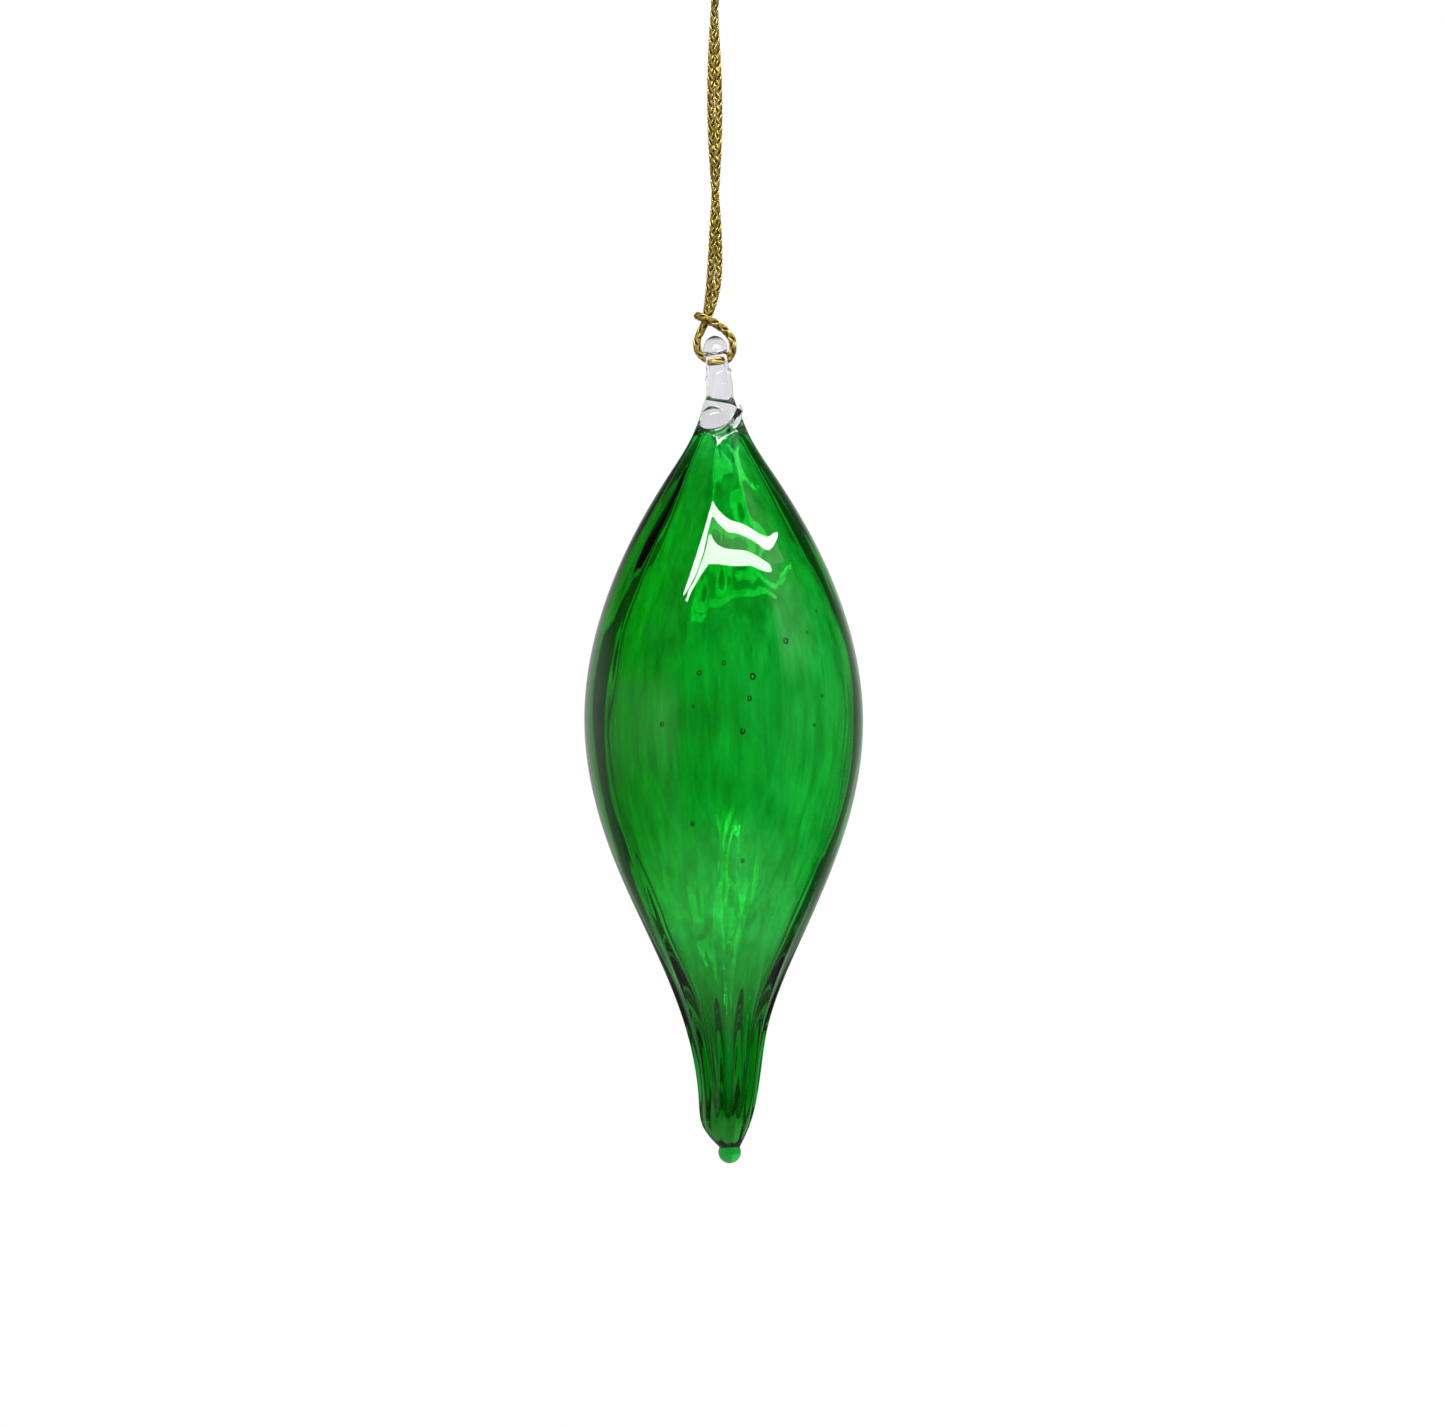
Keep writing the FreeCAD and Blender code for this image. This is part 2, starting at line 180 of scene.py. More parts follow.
def route_points(name, route, resolution):
    """Points along the smooth spline of a route, in metres."""
    data = bpy.data.curves.new(name, "CURVE")
    data.dimensions = "3D"
    data.resolution_u = resolution
    spline = data.splines.new("NURBS")
    spline.points.add(len(route) - 1)
    for point, place in zip(spline.points, route):
        point.co = (place[0], place[1], place[2], 1.0)
    spline.order_u = 3
    spline.use_endpoint_u = True
    thing = bpy.data.objects.new(name, data)
    scene.collection.objects.link(thing)
    mesh = bpy.data.meshes.new_from_object(thing)
    points = [vertex.co.copy() for vertex in mesh.vertices]
    bpy.data.objects.remove(thing)
    bpy.data.meshes.remove(mesh)
    return points


def even_points(points, step):
    """The same line with evenly spaced points, in metres."""
    line = np.array([tuple(point) for point in points])
    along = np.concatenate([[0], np.cumsum(np.linalg.norm(np.diff(line, axis=0), axis=1))])
    count = max(8, int(round(along[-1] / step)))
    wanted = np.linspace(0, along[-1], count + 1)
    even = np.stack([np.interp(wanted, along, line[:, k]) for k in range(3)], axis=1)
    return even, wanted


def carried_frames(line):
    """Two directions square to the line at each point, carried along it without twist."""
    tangents = np.gradient(line, axis=0)
    tangents /= np.linalg.norm(tangents, axis=1)[:, None]
    first = np.zeros_like(line)
    seed = np.array([1.0, 0.2, 0.1])
    first[0] = seed - tangents[0] * (seed @ tangents[0])
    first[0] /= np.linalg.norm(first[0])
    for i in range(1, len(line)):
        carried = first[i - 1] - tangents[i] * (first[i - 1] @ tangents[i])
        first[i] = carried / np.linalg.norm(carried)
    return tangents, first, np.cross(tangents, first)


def add_tube(points, faces, line, width, thickness, sides, slots, slot_index, across=None, painted_dip_shade=None):
    """A closed tube with an oval section along a line in metres, added to the lists."""
    tangents, first, second = carried_frames(line)
    if across is not None:
        second = across - tangents * np.sum(across * tangents, axis=1)[:, None]
        second /= np.linalg.norm(second, axis=1)[:, None]
        first = np.cross(second, tangents)
    base = len(points)
    angles = 2 * np.pi * np.arange(sides) / sides
    # Each point also carries the painted shade of the yarn there, as a fourth value.
    for i, (place, one, two) in enumerate(zip(line, first, second)):
        for angle in angles:
            points.append(tuple(place + one * (thickness * math.cos(angle)) + two * (width * math.sin(angle)))
                          + (0.0 if painted_dip_shade is None else float(painted_dip_shade[i]),))
    rows = len(line)
    for i in range(rows - 1):
        for j in range(sides):
            a = base + i * sides + j
            b = base + i * sides + (j + 1) % sides
            faces.append((a, b, b + sides, a + sides))
            slots.append(slot_index)
    faces.append(tuple(base + j for j in reversed(range(sides))))
    slots.append(slot_index)
    faces.append(tuple(base + (rows - 1) * sides + j for j in range(sides)))
    slots.append(slot_index)


# The braid: flat yarns that cross over and beneath each other round a core whose near-black colour is painted
# shade.
BRAID_PITCH = 5.91
YARNS_EACH_WAY = 3
BRAID_RADIUS = 0.435
BRAID_LIFT = 0.07
YARN_HALF_WIDTH = 0.16
YARN_HALF_THICKNESS = 0.115
CORE_RADIUS = 0.36
# Each yarn is a pair of threads, this far to either side in radians.
THREAD_SIDE = 0.33


def braid_mesh(name, line, along):
    """A braided cord along a line in metres."""
    tangents, first, second = carried_frames(line)
    points, faces, slots = [], [], []
    for way in (1, -1):
        for number in range(YARNS_EACH_WAY):
            start = 2 * math.pi * number / YARNS_EACH_WAY
            for side in (-THREAD_SIDE, THREAD_SIDE):
                turn = way * 2 * np.pi * along / (BRAID_PITCH * MM) + start
                crossing = YARNS_EACH_WAY * 2 * np.pi * along / (BRAID_PITCH * MM)
                lift = BRAID_LIFT * np.cos(crossing) * way
                radius = (BRAID_RADIUS + lift) * MM
                angle = turn + side
                out = first * np.cos(angle)[:, None] + second * np.sin(angle)[:, None]
                yarn = line + out * radius[:, None]
                around = np.cross(tangents, out)
                # Painted shade: the yarn is darkened where it dips below the yarns that cross it.
                dip_shade = np.clip(0.42 - 0.8 * lift / BRAID_LIFT, 0, 1)
                add_tube(points, faces, yarn, YARN_HALF_WIDTH * MM, YARN_HALF_THICKNESS * MM, 6, slots, 0,
                         across=around, painted_dip_shade=dip_shade)
    add_tube(points, faces, line, CORE_RADIUS * MM, CORE_RADIUS * MM, 8, slots, 1)
    mesh = bpy.data.meshes.new(name)
    mesh.from_pydata([point[:3] for point in points], [], faces)
    # The painted shade is stored on the points, for the yarn's colour.
    layer = mesh.attributes.new("painted_dip_shade", "FLOAT", "POINT")
    layer.data.foreach_set("value", [point[3] for point in points])
    mesh.polygons.foreach_set("material_index", slots)
    mesh.update()
    smooth_shade(mesh)
    return mesh


# Materials

def new_material(name):
    material = bpy.data.materials.new(name)
    material.use_nodes = True
    nodes = material.node_tree.nodes
    nodes.clear()
    output = nodes.new("ShaderNodeOutputMaterial")
    return material, nodes, material.node_tree.links, output


def gold_yarn():
    """Metallised yarn: bright flat facets, with painted shade where it dips below the other yarns."""
    material, nodes, links, output = new_material("gold_yarn")
    shader = nodes.new("ShaderNodeBsdfPrincipled")
    shader.inputs["Metallic"].default_value = 0.75
    shader.inputs["Roughness"].default_value = 0.34
    place = nodes.new("ShaderNodeTexCoord")
    noise = nodes.new("ShaderNodeTexNoise")
    noise.inputs["Scale"].default_value = 1400.0
    noise.inputs["Detail"].default_value = 3.0
    ramp = nodes.new("ShaderNodeValToRGB")
    ramp.color_ramp.elements[0].position = 0.3
    ramp.color_ramp.elements[0].color = (0.26, 0.16, 0.008, 1)
    ramp.color_ramp.elements[1].position = 0.7
    ramp.color_ramp.elements[1].color = (1.0, 0.78, 0.2, 1)
    links.new(place.outputs["Object"], noise.inputs["Vector"])
    links.new(noise.outputs["Fac"], ramp.inputs["Fac"])
    # Painted shade: the colour is drawn towards near-black where the yarn dips below the others.
    dip_shade = nodes.new("ShaderNodeAttribute")
    dip_shade.attribute_name = "painted_dip_shade"
    mix = nodes.new("ShaderNodeMix")
    mix.data_type = "RGBA"
    links.new(dip_shade.outputs["Fac"], mix.inputs["Factor"])
    links.new(ramp.outputs["Color"], mix.inputs["A"])
    mix.inputs["B"].default_value = (0.04, 0.02, 0.0015, 1)
    links.new(mix.outputs["Result"], shader.inputs["Base Color"])
    fine = nodes.new("ShaderNodeTexNoise")
    fine.inputs["Scale"].default_value = 6000.0
    bump = nodes.new("ShaderNodeBump")
    bump.inputs["Strength"].default_value = 0.35
    bump.inputs["Distance"].default_value = 0.00005
    links.new(place.outputs["Object"], fine.inputs["Vector"])
    links.new(fine.outputs["Fac"], bump.inputs["Height"])
    links.new(bump.outputs["Normal"], shader.inputs["Normal"])
    links.new(shader.outputs["BSDF"], output.inputs["Surface"])
    return material


# The cord's core: a real part, coloured near-black as painted shade for the gaps between the yarns.
def core_painted_shade():
    material, nodes, links, output = new_material("core_painted_shade")
    shader = nodes.new("ShaderNodeBsdfPrincipled")
    shader.inputs["Roughness"].default_value = 0.8
    place = nodes.new("ShaderNodeTexCoord")
    noise = nodes.new("ShaderNodeTexNoise")
    noise.inputs["Scale"].default_value = 3000.0
    ramp = nodes.new("ShaderNodeValToRGB")
    ramp.color_ramp.elements[0].color = (0.035, 0.018, 0.002, 1)
    ramp.color_ramp.elements[1].color = (0.11, 0.065, 0.008, 1)
    links.new(place.outputs["Object"], noise.inputs["Vector"])
    links.new(noise.outputs["Fac"], ramp.inputs["Fac"])
    links.new(ramp.outputs["Color"], shader.inputs["Base Color"])
    links.new(shader.outputs["BSDF"], output.inputs["Surface"])
    return material


def glass(name, pale, deep, volume_colour, density, streak_scale, wave_depth, foot=(1.0, 1.0, 1.0, 1.0)):
    """Glass with streaks drawn out along it, faint waves, a colour that deepens with its thickness, and a
    colour that turns darker towards its foot."""
    material, nodes, links, output = new_material(name)
    shader = nodes.new("ShaderNodeBsdfPrincipled")
    shader.inputs["Roughness"].default_value = 0.0
    shader.inputs["IOR"].default_value = 1.5
    shader.inputs["Transmission Weight"].default_value = 1.0
    place = nodes.new("ShaderNodeTexCoord")

    def noise(scale, along, detail):
        stretch = nodes.new("ShaderNodeMapping")
        stretch.inputs["Scale"].default_value = (1.0, 1.0, along)
        made = nodes.new("ShaderNodeTexNoise")
        made.inputs["Scale"].default_value = scale
        made.inputs["Detail"].default_value = detail
        links.new(place.outputs["Object"], stretch.inputs["Vector"])
        links.new(stretch.outputs["Vector"], made.inputs["Vector"])
        return made.outputs["Fac"]

    both = nodes.new("ShaderNodeMath")
    both.operation = "MULTIPLY_ADD"
    both.inputs[1].default_value = 0.5
    half = nodes.new("ShaderNodeMath")
    half.operation = "MULTIPLY"
    half.inputs[1].default_value = 0.5
    links.new(noise(streak_scale, 0.07, 3.0), both.inputs[0])
    links.new(noise(streak_scale * 0.4, 0.35, 2.0), half.inputs[0])
    links.new(half.outputs[0], both.inputs[2])
    ramp = nodes.new("ShaderNodeValToRGB")
    ramp.color_ramp.elements[0].position = 0.38
    ramp.color_ramp.elements[0].color = deep
    ramp.color_ramp.elements[1].position = 0.56
    ramp.color_ramp.elements[1].color = pale
    links.new(both.outputs[0], ramp.inputs["Fac"])
    split = nodes.new("ShaderNodeSeparateXYZ")
    links.new(place.outputs["Object"], split.inputs[0])
    height = nodes.new("ShaderNodeMapRange")
    height.interpolation_type = "SMOOTHSTEP"
    height.inputs["From Min"].default_value = FOOT_LEVEL[0]
    height.inputs["From Max"].default_value = FOOT_LEVEL[1]
    links.new(split.outputs["Z"], height.inputs["Value"])
    darker = nodes.new("ShaderNodeMix")
    darker.data_type = "RGBA"
    darker.inputs["A"].default_value = foot
    darker.inputs["B"].default_value = (1.0, 1.0, 1.0, 1.0)
    links.new(height.outputs["Result"], darker.inputs["Factor"])
    tint = nodes.new("ShaderNodeMix")
    tint.data_type = "RGBA"
    tint.blend_type = "MULTIPLY"
    tint.inputs["Factor"].default_value = 1.0
    links.new(ramp.outputs["Color"], tint.inputs["A"])
    links.new(darker.outputs["Result"], tint.inputs["B"])
    links.new(tint.outputs["Result"], shader.inputs["Base Color"])
    bump = nodes.new("ShaderNodeBump")
    bump.inputs["Strength"].default_value = 0.5
    bump.inputs["Distance"].default_value = wave_depth
    links.new(noise(streak_scale * 0.35, 0.12, 1.0), bump.inputs["Height"])
    links.new(bump.outputs["Normal"], shader.inputs["Normal"])
    links.new(shader.outputs["BSDF"], output.inputs["Surface"])
    inside = nodes.new("ShaderNodeVolumeAbsorption")
    inside.inputs["Color"].default_value = volume_colour
    inside.inputs["Density"].default_value = density
    links.new(inside.outputs["Volume"], output.inputs["Volume"])
    return material


# The green glass is darkest below the first of these heights and turns pale by the second, in metres.
FOOT_LEVEL = (-0.168, -0.143)
GOLD = gold_yarn()
CORE = core_painted_shade()
GREEN = glass("green_glass", (1.0, 1.0, 1.0, 1.0), (0.4, 0.67, 0.45, 1.0), (0.02, 0.84, 0.34, 1.0), 1190.0,
              700.0, 0.000008, (0.42, 0.6, 0.46, 1.0))
CLEAR = glass("clear_glass", (1.0, 1.0, 1.0, 1.0), (0.93, 0.93, 0.95, 1.0), (0.38, 0.36, 0.44, 1.0), 70.0,
              800.0, 0.00003)


def make_cord():
    line, along = even_points(route_points("route", ROUTE, 24), 0.17 * MM)
    mesh = braid_mesh("hanging_cord_braid", line, along)
    cord = link("hanging_cord_braid", mesh)
    mesh.materials.append(GOLD)
    mesh.materials.append(CORE)
    return cord, line, float(along[-1])


# The knot above the hook, with two loose ends
KNOT_ROUTES = [
    [
        (0.0, -0.00135, 0.0), (0.0, -0.0014, 0.0008), (-0.0007, -0.0013, 0.002),
        (-0.0012, -0.0002, 0.0034), (-0.0006, 0.0011, 0.0042), (0.0008, 0.0013, 0.0036),
        (0.0013, 0.0003, 0.0024), (0.0006, -0.0009, 0.0016), (-0.0006, -0.0004, 0.0022),
        (-0.0009, 0.0004, 0.0042), (-0.0004, 0.0011, 0.006), (-0.0006, 0.0019, 0.0078),
        (-0.0008, 0.0026, 0.0088),
    ],
    [
        (0.0, 0.00135, 0.0), (0.0, 0.0014, 0.0008), (0.0008, 0.0015, 0.0018), (0.0014, 0.0002, 0.0028),
        (0.0008, -0.0013, 0.0036), (-0.0006, -0.0016, 0.004), (-0.0014, -0.0004, 0.003),
        (-0.001, 0.001, 0.002), (0.0004, 0.0008, 0.0022), (0.0006, -0.0004, 0.004),
        (0.0001, -0.0012, 0.006), (-0.0002, -0.002, 0.0076), (-0.0001, -0.0028, 0.0088),
    ],
]


def make_knot():
    points, faces, slots = [], [], []
    meshes = []
    for number, route in enumerate(KNOT_ROUTES):
        line, along = even_points(route_points("knot_route", route, 12), 0.15 * MM)
        meshes.append(braid_mesh("knot_%d" % number, line, along))
    # The yarns' painted shade is carried over into the knot.
    dip_shade = []
    for mesh in meshes:
        base = len(points)
        points += [tuple(vertex.co) for vertex in mesh.vertices]
        dip_shade += [item.value for item in mesh.attributes["painted_dip_shade"].data]
        for polygon in mesh.polygons:
            faces.append(tuple(base + index for index in polygon.vertices))
            slots.append(polygon.material_index)
        bpy.data.meshes.remove(mesh)
    mesh = bpy.data.meshes.new("cord_knot_braid")
    mesh.from_pydata(points, [], faces)
    mesh.attributes.new("painted_dip_shade", "FLOAT", "POINT").data.foreach_set("value", dip_shade)
    mesh.polygons.foreach_set("material_index", slots)
    mesh.update()
    smooth_shade(mesh)
    mesh.materials.append(GOLD)
    mesh.materials.append(CORE)
    return link("cord_knot_braid", mesh)


# The glass: stations as depth, crest radius, rib depth and sideways shift

RIBS = 10
RIB_TURN = math.radians(2.5)
OUTSIDE = [
    (5.6, 2.37, 0.0, 0.0), (10.0, 3.71, 0.0, 0.0), (18.0, 8.39, 0.1, 0.0), (36.0, 17.73, 0.06, 0.0),
    (55.6, 21.46, 0.04, 0.0), (75.0, 17.7, 0.08, 0.0), (91.0, 10.76, 0.4, 0.0), (103.0, 6.24, 0.65, 0.0),
    (114.0, 4.43, 0.49, 0.0), (117.8, 3.6, 0.21, -0.25), (121.0, 1.58, 0.0, 0.25),
]
TIP = OUTSIDE[-1]
# Thickness of the wall by depth
WALLS = [
    (12.0, 2.0), (24.0, 2.2), (42.0, 2.35), (68.0, 2.3),
    (80.0, 1.95), (91.0, 1.85), (103.0, 2.3), (114.0, 2.6),
]
# The cavity lies a little to the right, so the wall is thicker on the left.
CAVITY_SHIFT = 0.75
# The wall is thickest along a strip down its left shoulder: depth and thickness added.
THICK_STRIP = [(14.0, 0.0), (20.0, 0.7), (28.0, 0.6), (42.0, 0.0)]
THICK_STRIP_WIDTH = math.radians(30)
RIM_DEPTH = 10.4
RIM_RADIUS = 3.0
MOUTH_DEPTH = 11.7
# Depth and radius where the cavity's rounded end begins, and how deep that end is
CAVITY_END = (115.6, 0.9)
CAVITY_END_DEPTH = 0.7
PIP_RADIUS = 1.75
# How far the green glass reaches into the clear glass, so that light passes from one to the other.
JOINT_LAP = 0.02
COLUMNS = 220
OUTSIDE_ROWS = 205
INSIDE_ROWS = 195


def inside_stations():
    """The outside's stations moved in by the wall, square to the profile."""
    found = [(MOUTH_DEPTH, 2.7, 0.0, 0.0)]
    for before, here, after in zip(OUTSIDE[1:], OUTSIDE[2:], OUTSIDE[3:]):
        depth, radius, ribs, _ = here
        if depth > 115:
            continue
        fall = after[0] - before[0]
        growth = after[1] - before[1]
        slant = math.hypot(fall, growth)
        wall = np.interp(depth, *np.array(WALLS).T)
        share = np.interp(depth, [12, 30, 66, 84], [0, 1, 1, 0.1])
        found.append((depth + wall * growth / slant, radius - wall * fall / slant, ribs,
                      CAVITY_SHIFT * share))
    found.append((CAVITY_END[0], CAVITY_END[1], 0.0, 0.0))
    return found


def rib_fall(angle):
    """0 on a crest and 1 in the middle of a panel."""
    return 1 - (0.5 + 0.5 * np.cos(RIBS * (angle - RIB_TURN))) ** 1.3


# The wavy lower edge of the clear glass: angle round the axis and depth
LAP_EDGE = [(-150, 11.54), (-118, 11.25), (-104, 11.77), (-80, 11.95), (-55, 12.08), (-25, 11.15),
            (20, 11.4), (60, 11.75), (100, 11.3), (140, 11.6), (180, 11.3)]


def lap_edge_depth(angle):
    turned = (np.degrees(angle) + 180) % 360 - 180
    marks = np.array(LAP_EDGE, float)
    before = marks[-2:] - [360, 0]
    after = marks[:2] + [360, 0]
    marks = np.concatenate([before, marks, after])
    return natural_spline(marks[:, 0], marks[:, 1], turned)


PROFILE = dense_line(OUTSIDE, 2400)


def outside_at(depth):
    """Crest radius, rib depth and shift of the outside at a depth."""
    return [np.interp(depth, PROFILE[:, 0], PROFILE[:, k]) for k in (1, 2, 3)]


# The clear plug in the mouth: its root above the rim, its end below it, its radius and its lean
PLUG_ROOT = RIM_DEPTH - 1.0
PLUG_END = RIM_DEPTH + 5.6
PLUG_RADIUS = 2.1
PLUG_TAPER = 0.8
PLUG_TAPER_LENGTH = 7.0
PLUG_LEAN = math.radians(8.0)


def plug_ring(depth, grow=0.0):
    """Centre and radius of the leaning plug at a depth."""
    down = depth - PLUG_ROOT
    reach = down / math.cos(PLUG_LEAN)
    return down * math.tan(PLUG_LEAN), PLUG_RADIUS - PLUG_TAPER * reach / PLUG_TAPER_LENGTH + grow


# The body is a little flatter from front to back: depth and share of the breadth
FLATTER = [(14.0, 1.0), (40.0, 0.98), (75.0, 0.98), (95.0, 1.0)]


def ring_points(radius, angle, depth, shift):
    points = np.empty((len(angle), 3))
    points[:, 0] = shift + radius * np.cos(angle)
    points[:, 1] = radius * np.sin(angle) * np.interp(depth, *np.array(FLATTER).T)
    points[:, 2] = EYE_LEVEL - depth
    return points


def streaks(angle, depth):
    """Uneven thickness of the blown wall, drawn out along it and weaker at the sides."""
    rise = depth / 100.0
    fine = (0.022 * np.sin(17 * angle + 5.1 * rise + 0.4) + 0.016 * np.sin(31 * angle - 7.3 * rise + 2.1)
            + 0.012 * np.sin(47 * angle + 11.7 * rise + 4.4) + 0.007 * np.sin(73 * angle - 9.1 * rise + 0.9))
    broad = (0.035 * np.sin(11 * angle + depth / 3.1 + 1.0) + 0.035 * np.sin(-8 * angle + depth / 4.2 + 2.0)
             + 0.016 * np.sin(19 * angle - depth / 2.4 + 0.5))
    return (fine + broad) * (0.15 + 0.85 * np.sin(angle) ** 2)


# Where the folds are: across, half width, depth and half length
BACK_FOLDS = [(1.3, 2.4, 86.0, 13.0), (-4.8, 1.8, 91.0, 6.0)]


def back_folds(angle, depth, radius):
    """Narrow folds down the lower back of the wall, which draw the window's image out into bright lines."""
    across = radius * np.cos(angle)
    lines = (0.1 * np.sin(2 * np.pi * across / 2.7 + 0.05 * depth)
             + 0.035 * np.sin(2 * np.pi * across / 1.5 - 0.09 * depth + 1.0))
    near = np.zeros(len(angle))
    for place, width, level, length in BACK_FOLDS:
        near += np.exp(-((across - place) / width) ** 2 - ((depth - level) / length) ** 2)
    return lines * near * (np.sin(angle) > 0)


# Thicker (above 0) spots of the wall seen as bright curved lines: across, depth, size, amount and which wall
SPOTS = [(-1.3, 33.0, 3.4, 0.4, 1), (3.4, 31.0, 2.4, 0.2, 1)]


def spots(angle, depth, radius):
    across = radius * np.cos(angle)
    near = np.zeros(len(angle))
    for place, level, size, amount, side in SPOTS:
        away = ((across - place) ** 2 + (depth - level) ** 2) / (2 * size ** 2)
        near += amount * np.exp(-away) * (np.sin(angle) * -side > 0)
    return near


def glass_rows():
    """All rings of the green glass, from the foot of the ball up the outside and down the inside."""
    angle = 2 * np.pi * np.arange(COLUMNS) / COLUMNS
    rows = []
    ball_depth = TIP[0] + math.sqrt(PIP_RADIUS ** 2 - TIP[1] ** 2)
    last = math.pi - math.asin(TIP[1] / PIP_RADIUS)
    for turn in np.linspace(0.1, last, 13)[:-1]:
        radius = np.full(COLUMNS, PIP_RADIUS * math.sin(turn))
        rows.append(ring_points(radius, angle, ball_depth + PIP_RADIUS * math.cos(turn), TIP[3]))
    edge = lap_edge_depth(angle)
    outside = dense_line(OUTSIDE, OUTSIDE_ROWS)
    outside = outside[outside[:, 0] > edge.max() + 0.15][::-1]
    for depth, radius, ribs, shift in outside:
        rows.append(ring_points(radius - ribs * rib_fall(angle), angle, depth, shift))
    top = rows[-1]
    edge_radius, edge_ribs, _ = outside_at(edge)
    edge_radius = edge_radius - edge_ribs * rib_fall(angle)
    for share in (0.35, 0.7, 1.0):
        depth = (top[:, 2] - EYE_LEVEL) * -(1 - share) + edge * share
        radius, ribs, _ = outside_at(depth)
        rows.append(ring_points(radius - ribs * rib_fall(angle), angle, depth, 0.0))
    for share in np.linspace(0, 1, 6)[1:]:
        radius = edge_radius + (RIM_RADIUS - edge_radius) * share
        depth = edge + (RIM_DEPTH - edge) * share - JOINT_LAP
        rows.append(ring_points(radius, angle, depth, 0.0))
    for share in (0.5, 1.0):
        shift, hole = plug_ring(RIM_DEPTH, -JOINT_LAP)
        radius = np.full(COLUMNS, RIM_RADIUS + (hole - RIM_RADIUS) * share)
        rows.append(ring_points(radius, angle, RIM_DEPTH - JOINT_LAP, shift * share))
    for depth in np.linspace(RIM_DEPTH, MOUTH_DEPTH, 6)[1:]:
        shift, hole = plug_ring(depth, -JOINT_LAP)
        rows.append(ring_points(np.full(COLUMNS, hole), angle, depth, shift))
    inside = dense_line(inside_stations(), INSIDE_ROWS)
    radius = np.full(COLUMNS, hole + (inside[0][1] - hole) * 0.5)
    rows.append(ring_points(radius, angle, MOUTH_DEPTH, shift * 0.5))
    length = chord_steps(inside)
    for (depth, radius, ribs, side), way in zip(inside, length):
        inner_ribs = np.interp(depth, [75, 95], [1.0, 0.35])
        fade = np.clip((way - 3) / 10, 0, 1) * np.clip((length[-1] - way) / 14, 0, 1)
        blown = fade * min(1.0, (radius / 12) ** 2) * streaks(angle, depth)
        ring = radius - ribs * inner_ribs * rib_fall(angle) + blown
        ring = ring - spots(angle, depth, radius) + back_folds(angle, depth, radius)
        strip = np.interp(depth, *np.array(THICK_STRIP).T)
        ring = ring - fade * strip * np.exp(-((angle - np.pi) / THICK_STRIP_WIDTH) ** 2)
        rows.append(ring_points(ring, angle, depth, side))
    for turn in (0.35, 0.75, 1.15):
        radius = np.full(COLUMNS, CAVITY_END[1] * math.cos(turn))
        rows.append(ring_points(radius, angle, CAVITY_END[0] + CAVITY_END_DEPTH * math.sin(turn), 0.0))
    return rows


# Bubbles in the wall: place across and depth, size, and which wall (1 front, -1 back)
SEEDS = [
    (4.4, 48.8, 0.5, 1), (9.4, 43.5, 0.46, 1), (2.8, 57.0, 0.44, 1), (3.9, 52.1, 0.38, 1),
    (0.1, 46.7, 0.34, 1), (-3.6, 48.2, 0.38, 1), (-9.2, 55.8, 0.38, 1), (-4.8, 70.8, 0.36, 1),
    (2.6, 76.5, 0.34, 1), (-4.5, 53.2, 0.24, 1), (14.7, 51.8, 0.26, 1), (13.5, 56.2, 0.25, 1),
    (14.0, 39.0, 0.22, 1), (12.6, 42.2, 0.22, 1),
]
# How far a bubble's middle lies under the outer face
SEED_DEPTH = 0.9


def seed_mesh(form, centre, size):
    """A small hollow in the glass: a ball whose faces look inwards."""
    made = bmesh.ops.create_icosphere(form, subdivisions=2, radius=size * MM,
                                      matrix=Matrix.Translation(Vector(centre) * MM))
    for vertex in made["verts"]:
        vertex.co.z = centre[2] * MM + (vertex.co.z - centre[2] * MM) * 1.15
    faces = {face for vertex in made["verts"] for face in vertex.link_faces}
    for face in faces:
        face.normal_flip()
        face.smooth = True


def make_glass_body():
    rows = glass_rows()
    points = np.concatenate(rows)
    faces = []
    for i in range(len(rows) - 1):
        for j in range(COLUMNS):
            a = i * COLUMNS + j
            b = i * COLUMNS + (j + 1) % COLUMNS
            faces.append((a, b, b + COLUMNS, a + COLUMNS))
    foot = len(points)
    end = foot + 1
    bottom = rows[0].mean(axis=0)
    bottom[2] = EYE_LEVEL - (TIP[0] + math.sqrt(PIP_RADIUS ** 2 - TIP[1] ** 2) + PIP_RADIUS)
    close = rows[-1].mean(axis=0)
    close[2] = EYE_LEVEL - CAVITY_END[0] - CAVITY_END_DEPTH
    points = np.concatenate([points, [bottom, close]])
    last = (len(rows) - 1) * COLUMNS
    for j in range(COLUMNS):
        faces.append((foot, (j + 1) % COLUMNS, j))
        faces.append((end, last + j, last + (j + 1) % COLUMNS))
    mesh = mesh_from("glass_teardrop", points, faces)
    form = bmesh.new()
    form.from_mesh(mesh)
    for across, depth, size, side in SEEDS:
        radius = float(outside_at(depth)[0]) - SEED_DEPTH
        back = math.sqrt(max(radius ** 2 - across ** 2, 0.0))
        seed_mesh(form, (across, -side * back, EYE_LEVEL - depth), size)
    form.to_mesh(mesh)
    form.free()
    smooth_shade(mesh, 50)
    mesh.materials.append(GREEN)
    return link("glass_teardrop", mesh)


# The clear hanger

EYE_SHIFT = -0.65
SLOT_FOOT_SLOPE = 0.28
EYE_RINGS = [
    (-0.95, 1.12, 0.95, 0.1), (-0.45, 1.06, 1.0, 0.4), (0.05, 0.98, 1.0, 0.8), (0.45, 0.91, 0.9, 1.0),
    (0.75, 0.72, 0.7, 1.1), (0.92, 0.43, 0.42, 1.15), (1.0, 0.13, 0.12, 1.15),
]


